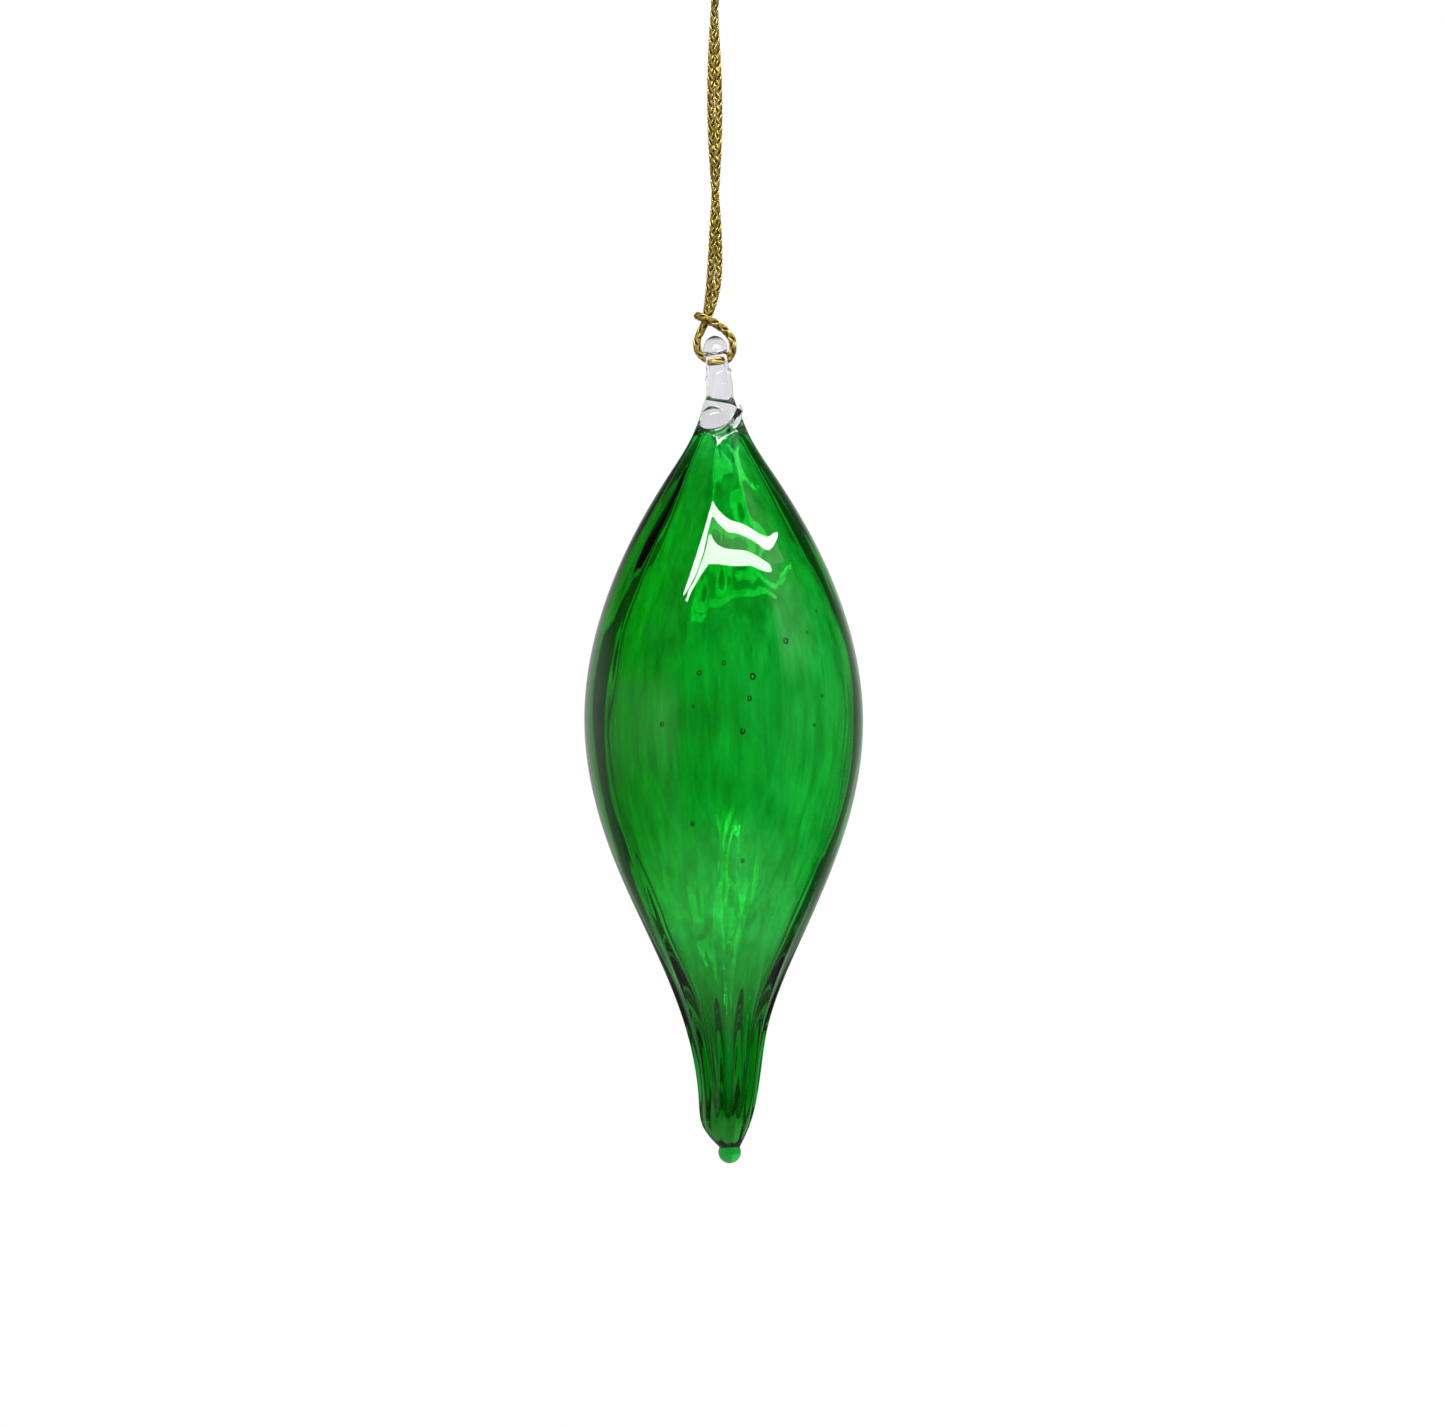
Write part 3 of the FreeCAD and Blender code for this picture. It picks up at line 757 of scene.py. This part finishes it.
def loft(name, rings):
    """A closed mesh through rings of equal counts."""
    count = len(rings[0])
    points = np.concatenate(rings)
    faces = []
    for i in range(len(rings) - 1):
        for j in range(count):
            a = i * count + j
            b = i * count + (j + 1) % count
            faces.append((a, b, b + count, a + count))
    faces.append(tuple(reversed(range(count))))
    last = (len(rings) - 1) * count
    faces.append(tuple(last + j for j in range(count)))
    thing = link(name, mesh_from(name, points, faces))
    form = bmesh.new()
    form.from_mesh(thing.data)
    bmesh.ops.recalc_face_normals(form, faces=form.faces)
    form.to_mesh(thing.data)
    form.free()
    return thing


def oval_ring(half_width, half_breadth, depth, shift, count=96):
    angle = 2 * np.pi * np.arange(count) / count
    return np.stack([shift + half_width * np.cos(angle), half_breadth * np.sin(angle),
                     np.full(count, EYE_LEVEL - depth)], axis=1)


def smooth_rings(stations, count):
    """Rings through stations given as depth, half width, half breadth and shift."""
    stations = np.array(stations, float)
    knots = np.concatenate([[0], np.cumsum(np.linalg.norm(np.diff(stations[:, :3], axis=0), axis=1))])
    fine = natural_spline(knots, stations, np.linspace(0, knots[-1], count))
    return [oval_ring(row[1], row[2], row[0], row[3]) for row in fine]


def slot_ring(along, growth, count=48):
    """The outline of the hole through the eye, wider above than below."""
    top = -60.3
    foot = -65.8
    length = top - foot
    top_radius = 1.5 + growth
    foot_radius = 0.8 + 0.5 * growth
    slope = math.asin((top_radius - foot_radius) / length)
    lean = (-0.1 - EYE_SHIFT) / length
    half = count // 2
    rows = []
    for turn in np.linspace(-slope, math.pi + slope, half):
        rows.append((top_radius * math.cos(turn), top + top_radius * math.sin(turn)))
    for turn in np.linspace(math.pi + slope, 2 * math.pi - slope, half):
        rows.append((foot_radius * math.cos(turn), foot + foot_radius * math.sin(turn)))
    dip = SLOT_FOOT_SLOPE * (along - EYE_SHIFT)
    return np.array([(along + lean * (top - level), across, level - dip * (top - level) / length)
                     for across, level in rows])


def apply_modifiers(thing):
    graph = bpy.context.evaluated_depsgraph_get()
    graph.update()
    mesh = bpy.data.meshes.new_from_object(thing.evaluated_get(graph))
    thing.modifiers.clear()
    old = thing.data
    thing.data = mesh
    bpy.data.meshes.remove(old)


def combine(thing, other, operation):
    step = thing.modifiers.new("combine", "BOOLEAN")
    step.operation = operation
    step.object = other
    step.solver = "EXACT"
    apply_modifiers(thing)
    bpy.data.objects.remove(other)


def joint_cutter():
    """Everything below the clear glass: the green cone, its rim and all round it."""
    count = 180
    angle = 2 * np.pi * np.arange(count) / count
    edge = lap_edge_depth(angle)
    radius = outside_at(edge)[0] - outside_at(edge)[1] * rib_fall(angle)
    slope = (edge - RIM_DEPTH) / (radius - RIM_RADIUS)
    rings = [ring_points(np.full(count, 0.3), angle, RIM_DEPTH, 0.0),
             ring_points(np.full(count, RIM_RADIUS), angle, RIM_DEPTH, 0.0),
             ring_points(radius, angle, edge, 0.0),
             ring_points(np.full(count, 7.5), angle, RIM_DEPTH + slope * (7.5 - RIM_RADIUS), 0.0),
             ring_points(np.full(count, 7.5), angle, 22.0, 0.0)]
    return loft("joint_cutter", rings)


# The thread of clear glass wound down the front of the neck, as points and half thickness
WRAP = [(2.0, 1.2, -66.4, 0.35), (2.75, 0.0, -67.2, 0.5), (2.75, -1.6, -68.2, 0.62), (2.1, -2.9, -69.6, 0.66),
        (1.0, -3.75, -70.9, 0.62), (-0.2, -4.1, -71.6, 0.5), (-1.3, -4.0, -71.7, 0.3)]


# A slanting ridge across the front of the eye, just below the cord
RIDGE = [(-2.35 + 2.2 * (1 + math.sin(turn)), -0.3 - 2.72 * math.cos(turn),
          -63.0 + 0.75 * (1 + math.sin(turn)), 0.34) for turn in np.linspace(-1.4, 1.4, 11)]


def make_thread(path):
    marks = np.array(path)
    knots = np.concatenate([[0], np.cumsum(np.linalg.norm(np.diff(marks[:, :3], axis=0), axis=1))])
    line = natural_spline(knots, marks, np.linspace(0, knots[-1], 50))
    _, first, second = carried_frames(line[:, :3])
    angle = 2 * np.pi * np.arange(24) / 24
    rings = []
    for place, one, two in zip(line, first, second):
        rings.append(place[:3] + place[3] * (np.outer(np.cos(angle), one) + np.outer(np.sin(angle), two)))
    return loft("thread", rings)


# The lump of clear glass on the front of the neck
LUMP_RADIUS = 2.1
LUMP_SIDE = -1.05
LUMP_FRONT = -2.35
LUMP_DEPTH = 9.2


def make_hanger():
    eye = [(5.6, 2.37, 3.0, 0.0)]
    for rise, wide, broad, lean in EYE_RINGS:
        eye.append((-rise * 3.8, wide * 2.2, broad * 3.25, lean * EYE_SHIFT))
    blob = loft("glass_hanger_clear", smooth_rings(eye, 60))
    neck = [(5.2, 2.33, 2.95, 0.0), (5.6, 2.37, 3.0, 0.0)]
    for depth in (7.0, 8.5, 10.0, 11.5, 13.0, 14.0):
        radius = float(outside_at(depth)[0]) + 0.03
        broad = radius + 0.55 * max(0.0, (10.0 - depth) / 4.4)
        neck.append((depth, radius, broad, 0.0))
    combine(blob, loft("neck", smooth_rings(neck, 50)), "UNION")
    lump_rings = []
    for turn in np.linspace(0.12, math.pi - 0.12, 24):
        radius = np.full(48, LUMP_RADIUS * math.sin(turn))
        ring = ring_points(radius, 2 * np.pi * np.arange(48) / 48, LUMP_DEPTH - LUMP_RADIUS * math.cos(turn),
                           LUMP_SIDE)
        lump_rings.append(ring + np.array([0, LUMP_FRONT, 0]))
    combine(blob, loft("lump", lump_rings), "UNION")
    combine(blob, make_thread(WRAP), "UNION")
    combine(blob, make_thread(RIDGE), "UNION")
    shares = np.sin(np.linspace(-1.287, 1.287, 21))
    slot = [slot_ring(EYE_SHIFT + share * 3.1, 3.1 * (1 - math.sqrt(1 - share ** 2))) for share in shares]
    combine(blob, loft("slot", slot), "DIFFERENCE")
    remesh = blob.modifiers.new("remesh", "REMESH")
    remesh.mode = "VOXEL"
    remesh.voxel_size = 0.09 * MM
    smooth = blob.modifiers.new("smooth", "SMOOTH")
    smooth.factor = 0.5
    smooth.iterations = 7
    apply_modifiers(blob)
    combine(blob, joint_cutter(), "DIFFERENCE")
    plug = []
    for depth in np.linspace(PLUG_ROOT, PLUG_END, 30):
        shift, radius = plug_ring(depth)
        plug.append(ring_points(np.full(64, radius), 2 * np.pi * np.arange(64) / 64, depth, shift))
    shift, radius = plug_ring(PLUG_END)
    for turn in (0.4, 0.8, 1.15, 1.4):
        plug.append(ring_points(np.full(64, radius * math.cos(turn)), 2 * np.pi * np.arange(64) / 64,
                                PLUG_END + 0.5 * math.sin(turn), shift + 0.07 * math.sin(turn)))
    combine(blob, loft("plug", plug), "UNION")
    smooth_shade(blob.data, 45)
    blob.data.materials.clear()
    blob.data.materials.append(CLEAR)
    return blob


# Floor, world and lamps

# How brightly the white surroundings light matt surfaces
DIFFUSE_LEVEL = 0.62
# The darker strips, in degrees from the middle of a wall, and how dark they are
CORNER_STRIP = (26.5, 37.0)
LEFT_STRIP = (-41.0, -26.5)
UPPER_LEFT_STRIP = (-47.0, -39.0)
RIGHT_STRIP = (19.0, 38.0)
DARK_AMOUNT = 0.86
# How bright the window is in the back wall
WINDOW_IMAGE = 38.0


def make_floor():
    """A pale round floor well below the ornament. It fades into the white around it."""
    bpy.ops.mesh.primitive_circle_add(vertices=96, radius=0.27, fill_type="NGON", location=(0, 0, -0.262))
    floor = bpy.context.object
    floor.name = "floor"
    material, nodes, links, output = new_material("floor")
    pale = nodes.new("ShaderNodeBsdfDiffuse")
    through = nodes.new("ShaderNodeBsdfTransparent")
    mix = nodes.new("ShaderNodeMixShader")
    rays = nodes.new("ShaderNodeLightPath")
    lift = nodes.new("ShaderNodeMath")
    lift.operation = "MULTIPLY"
    lift.inputs[1].default_value = 0.42
    glow = nodes.new("ShaderNodeEmission")
    both_lights = nodes.new("ShaderNodeAddShader")
    tone = nodes.new("ShaderNodeMapRange")
    tone.inputs["To Min"].default_value = 0.86
    tone.inputs["To Max"].default_value = 0.28
    links.new(rays.outputs["Is Glossy Ray"], tone.inputs["Value"])
    links.new(tone.outputs["Result"], pale.inputs["Color"])
    links.new(rays.outputs["Is Camera Ray"], lift.inputs[0])
    links.new(lift.outputs[0], glow.inputs["Strength"])
    links.new(pale.outputs["BSDF"], both_lights.inputs[0])
    links.new(glow.outputs["Emission"], both_lights.inputs[1])
    place = nodes.new("ShaderNodeTexCoord")
    length = nodes.new("ShaderNodeVectorMath")
    length.operation = "LENGTH"
    fade = nodes.new("ShaderNodeMapRange")
    fade.interpolation_type = "SMOOTHSTEP"
    fade.inputs["From Min"].default_value = 0.12
    fade.inputs["From Max"].default_value = 0.26
    links.new(place.outputs["Object"], length.inputs[0])
    links.new(length.outputs["Value"], fade.inputs["Value"])
    links.new(fade.outputs["Result"], mix.inputs["Fac"])
    links.new(both_lights.outputs["Shader"], mix.inputs[1])
    links.new(through.outputs["BSDF"], mix.inputs[2])
    links.new(mix.outputs["Shader"], output.inputs["Surface"])
    floor.data.materials.append(material)


def make_world():
    """White all round for the camera and through the glass, with darker bands; dimmer in reflections."""
    world = bpy.data.worlds.new("studio")
    scene.world = world
    world.use_nodes = True
    nodes = world.node_tree.nodes
    links = world.node_tree.links
    nodes.clear()
    output = nodes.new("ShaderNodeOutputWorld")
    place = nodes.new("ShaderNodeTexCoord")
    split = nodes.new("ShaderNodeSeparateXYZ")
    links.new(place.outputs["Generated"], split.inputs[0])

    def maths(operation, first, second=None, third=None):
        node = nodes.new("ShaderNodeMath")
        node.operation = operation
        for socket, value in zip(node.inputs, (first, second, third)):
            if value is None:
                continue
            if isinstance(value, (int, float)):
                socket.default_value = value
            else:
                links.new(value, socket)
        return node.outputs[0]

    rays = nodes.new("ShaderNodeLightPath")

    def step(value, low, high):
        node = nodes.new("ShaderNodeMapRange")
        node.interpolation_type = "SMOOTHSTEP"
        links.new(value, node.inputs["Value"])
        node.inputs["From Min"].default_value = low
        node.inputs["From Max"].default_value = high
        return node.outputs["Result"]

    # Through the hollow glass: white walls on all four sides with a darker strip by each corner, wider on the
    # two sides of the wall behind. A ray straight through one solid piece sees white only.
    turn = maths("MULTIPLY", maths("ARCTAN2", split.outputs["X"], split.outputs["Y"]), 180 / math.pi)
    from_wall = maths("ABSOLUTE", maths("WRAP", turn, 45.0, -45.0))

    def strip(value, start, end):
        return maths("MULTIPLY", step(value, start - 1.5, start + 1.5), step(value, end + 1.5, end - 1.5))

    corners = strip(from_wall, *CORNER_STRIP)
    behind = maths("MAXIMUM", strip(turn, *LEFT_STRIP), strip(turn, *RIGHT_STRIP))
    upper = maths("MULTIPLY", strip(turn, *UPPER_LEFT_STRIP), step(split.outputs["Z"], -0.16, -0.06))
    behind = maths("MAXIMUM", behind, upper)
    hollow = maths("MAXIMUM", step(rays.outputs["Transmission Depth"], 2.4, 2.6),
                   step(rays.outputs["Glossy Depth"], 0.4, 0.6))
    dark = maths("MULTIPLY", maths("MULTIPLY", maths("MAXIMUM", corners, behind), hollow), DARK_AMOUNT)
    # The white wall is brighter towards its upper left.
    bright = maths("MULTIPLY", step(turn, -4.0, -15.0), step(split.outputs["Z"], 0.02, 0.14))
    strips = maths("MULTIPLY", maths("SUBTRACT", 1.0, dark), maths("MULTIPLY_ADD", bright, 0.6, 1.0))
    front = nodes.new("ShaderNodeMapRange")
    front.interpolation_type = "SMOOTHSTEP"
    links.new(split.outputs["Y"], front.inputs["Value"])
    front.inputs["From Min"].default_value = -0.6
    front.inputs["From Max"].default_value = 0.5
    front.inputs["To Min"].default_value = 0.85
    front.inputs["To Max"].default_value = 1.0
    through = maths("MULTIPLY", strips, front.outputs["Result"])
    # What the glass mirrors, by degrees to the right of -Y: the dark room behind the camera, then its walls
    towards_front = maths("MULTIPLY", split.outputs["Y"], -1.0)
    mirrored = maths("MULTIPLY", maths("ARCTAN2", split.outputs["X"], towards_front), 180 / math.pi)
    walls = nodes.new("ShaderNodeValToRGB")
    walls.color_ramp.interpolation = "EASE"
    marks = [(-180, 0.65), (-157, 0.55), (-135, 0.36), (-110, 0.3), (-85, 0.34), (-65, 0.42), (-50, 0.58),
             (-42, 0.4), (-33, 0.07), (0, 0.04), (45, 0.04), (57, 0.13), (70, 0.13), (90, 0.11), (115, 0.12),
             (135, 0.2), (157, 0.45), (180, 0.65)]
    elements = walls.color_ramp.elements
    while len(elements) < len(marks):
        elements.new(0.5)
    for element, (degrees, level) in zip(elements, marks):
        element.position = (degrees + 180) / 360
        element.color = (level, level, level, 1)
    links.new(maths("MULTIPLY_ADD", mirrored, 1 / 360, 0.5), walls.inputs["Fac"])
    low = nodes.new("ShaderNodeMapRange")
    low.interpolation_type = "SMOOTHSTEP"
    links.new(split.outputs["Z"], low.inputs["Value"])
    low.inputs["From Min"].default_value = -0.56
    low.inputs["From Max"].default_value = -0.64
    low.inputs["To Min"].default_value = 0.0
    low.inputs["To Max"].default_value = 0.17
    # The walls are bright at the ornament's level, and darker above and below it.
    above = maths("MULTIPLY_ADD", step(split.outputs["Z"], 0.08, 0.32), -0.85, 1.0)
    below = maths("MULTIPLY_ADD", step(split.outputs["Z"], -0.05, -0.35), -0.65, 1.0)
    # A soft bright patch low on the right of the window
    patch = maths("MULTIPLY", maths("MULTIPLY", step(mirrored, 50.0, 58.0), step(mirrored, 105.0, 60.0)),
                  maths("MULTIPLY", step(split.outputs["Z"], 0.1, 0.45), 0.85))
    plain_walls = maths("MULTIPLY", walls.outputs["Color"], maths("MULTIPLY", above, below))
    shine = maths("MAXIMUM", maths("MAXIMUM", plain_walls, patch), low.outputs["Result"])
    is_through = rays.outputs["Is Transmission Ray"]
    is_shine = rays.outputs["Is Glossy Ray"]
    only_shine = maths("MULTIPLY", is_shine, maths("SUBTRACT", 1.0, is_through))
    is_seen = rays.outputs["Is Camera Ray"]
    other = maths("MAXIMUM", is_seen, maths("MAXIMUM", is_through, is_shine))
    lit = maths("MULTIPLY", maths("SUBTRACT", 1.0, other), DIFFUSE_LEVEL)
    plain = maths("ADD", is_seen, lit)
    level = maths("ADD", maths("MULTIPLY", is_through, through),
                  maths("ADD", maths("MULTIPLY", only_shine, shine), plain))
    # The window's image in the back wall, seen through the front one
    twice = maths("MULTIPLY", step(rays.outputs["Transmission Depth"], 3.4, 3.6),
                  step(rays.outputs["Glossy Depth"], 0.4, 0.6))
    tall = maths("MULTIPLY", step(split.outputs["Z"], 0.4, 0.55), step(split.outputs["Z"], 0.88, 0.78))
    image = maths("MULTIPLY", maths("MULTIPLY", twice, tall), step(maths("ABSOLUTE", mirrored), 5.5, 2.5))
    level = maths("ADD", level, maths("MULTIPLY", maths("MULTIPLY", image, is_through), WINDOW_IMAGE))
    background = nodes.new("ShaderNodeBackground")
    background.inputs["Color"].default_value = (1, 1, 1, 1)
    links.new(level, background.inputs["Strength"])
    links.new(background.outputs["Background"], output.inputs["Surface"])


# The long window in front, as seen from the ornament: degrees to the right of -Y, then its lower and
# upper edge in degrees up
WINDOW_TOP = [
    (-45.0, 35.6, 35.9), (-44.0, 35.8, 37.1), (-43.2, 36.2, 39.3), (-37.7, 39.1, 45.9),
    (-30.1, 43.6, 52.3), (-27.0, 45.9, 54.4), (-22.4, 50.0, 57.3), (-18.9, 53.6, 59.3),
    (-14.3, 57.4, 61.5), (-11.5, 59.2, 62.5), (-6.1, 58.6, 61.5), (2.5, 56.8, 60.0), (7.2, 56.0, 59.2),
    (11.7, 55.3, 58.6), (18.3, 54.7, 57.8), (21.5, 54.3, 57.3), (30.0, 52.9, 56.0), (43.9, 50.3, 53.6),
    (51.1, 48.5, 51.9), (58.5, 46.5, 49.8), (70.0, 43.0, 46.7), (73.9, 41.9, 45.4), (77.6, 41.6, 44.2),
    (83.7, 41.3, 43.0), (89.7, 40.7, 41.8), (93.0, 40.5, 41.0),
]
WINDOW_LOW = [
    (-40.5, 34.8, 35.4), (-39.6, 34.6, 37.0), (-37.6, 34.8, 38.4), (-34.4, 37.7, 40.2),
    (-30.9, 39.6, 42.2), (-27.9, 41.2, 44.4), (-22.4, 43.6, 48.0), (-19.5, 44.9, 50.5),
    (-18.4, 45.3, 51.6), (-16.3, 46.1, 53.8), (-14.0, 46.8, 54.6), (-12.2, 46.9, 54.9),
    (-9.3, 47.1, 53.7), (-4.0, 47.4, 52.5), (5.8, 47.1, 51.5), (10.3, 46.8, 51.2), (21.2, 46.0, 50.4),
    (32.6, 45.1, 48.8), (45.9, 42.5, 46.1), (57.3, 40.1, 43.1), (62.5, 39.1, 41.7), (66.9, 38.8, 40.3),
]
WINDOW_PANE = [
    (-12.0, 55.2, 58.6), (-9.3, 53.9, 59.0), (-4.0, 52.7, 58.0), (10.0, 51.3, 55.5),
    (21.2, 50.5, 54.2), (32.0, 48.9, 52.4), (46.0, 46.2, 49.7), (60.7, 42.4, 45.7), (66.9, 40.4, 43.8),
    (80.0, 38.0, 41.4), (86.0, 37.0, 40.8),
]
WINDOW_DISTANCE = 1.4
WINDOW_CENTRE = (0.0, 0.0, -0.088)


def window_band(name, marks, strength):
    """A glowing strip of the window, seen by the glass and the cord but not by the camera."""
    marks = np.array(marks, float)
    turns = np.linspace(marks[0, 0], marks[-1, 0], 90)
    points = []
    for turn in turns:
        for column in (1, 2):
            rise = math.radians(float(np.interp(turn, marks[:, 0], marks[:, column])))
            a = math.radians(turn)
            points.append((WINDOW_CENTRE[0] + WINDOW_DISTANCE * math.sin(a) * math.cos(rise),
                           WINDOW_CENTRE[1] - WINDOW_DISTANCE * math.cos(a) * math.cos(rise),
                           WINDOW_CENTRE[2] + WINDOW_DISTANCE * math.sin(rise)))
    faces = [(2 * i, 2 * i + 1, 2 * i + 3, 2 * i + 2) for i in range(len(turns) - 1)]
    mesh = bpy.data.meshes.new(name)
    mesh.from_pydata(points, [], faces)
    material, nodes, links, output = new_material(name)
    glow = nodes.new("ShaderNodeEmission")
    glow.inputs["Strength"].default_value = strength
    links.new(glow.outputs["Emission"], output.inputs["Surface"])
    mesh.materials.append(material)
    thing = link(name, mesh)
    thing.visible_camera = False
    thing.visible_shadow = False


def make_lamps():
    window_band("window_top", WINDOW_TOP, 22.0)
    window_band("window_low", WINDOW_LOW, 20.0)
    window_band("window_pane", WINDOW_PANE, 1.2)


def finish_piece(thing, slot, *nodes):
    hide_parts(*nodes)
    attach(thing, "root")


cord, cord_line, cord_length = make_cord()
finish_piece(cord, "gold_cord", "hanging_cord")
knot = make_knot()
finish_piece(knot, "gold_cord", "cord_knot")
teardrop = make_glass_body()
finish_piece(teardrop, "green_glass", "glass_body")
hanger = make_hanger()
finish_piece(hanger, "clear_glass", "glass_hanger")

make_floor()
make_world()
make_lamps()
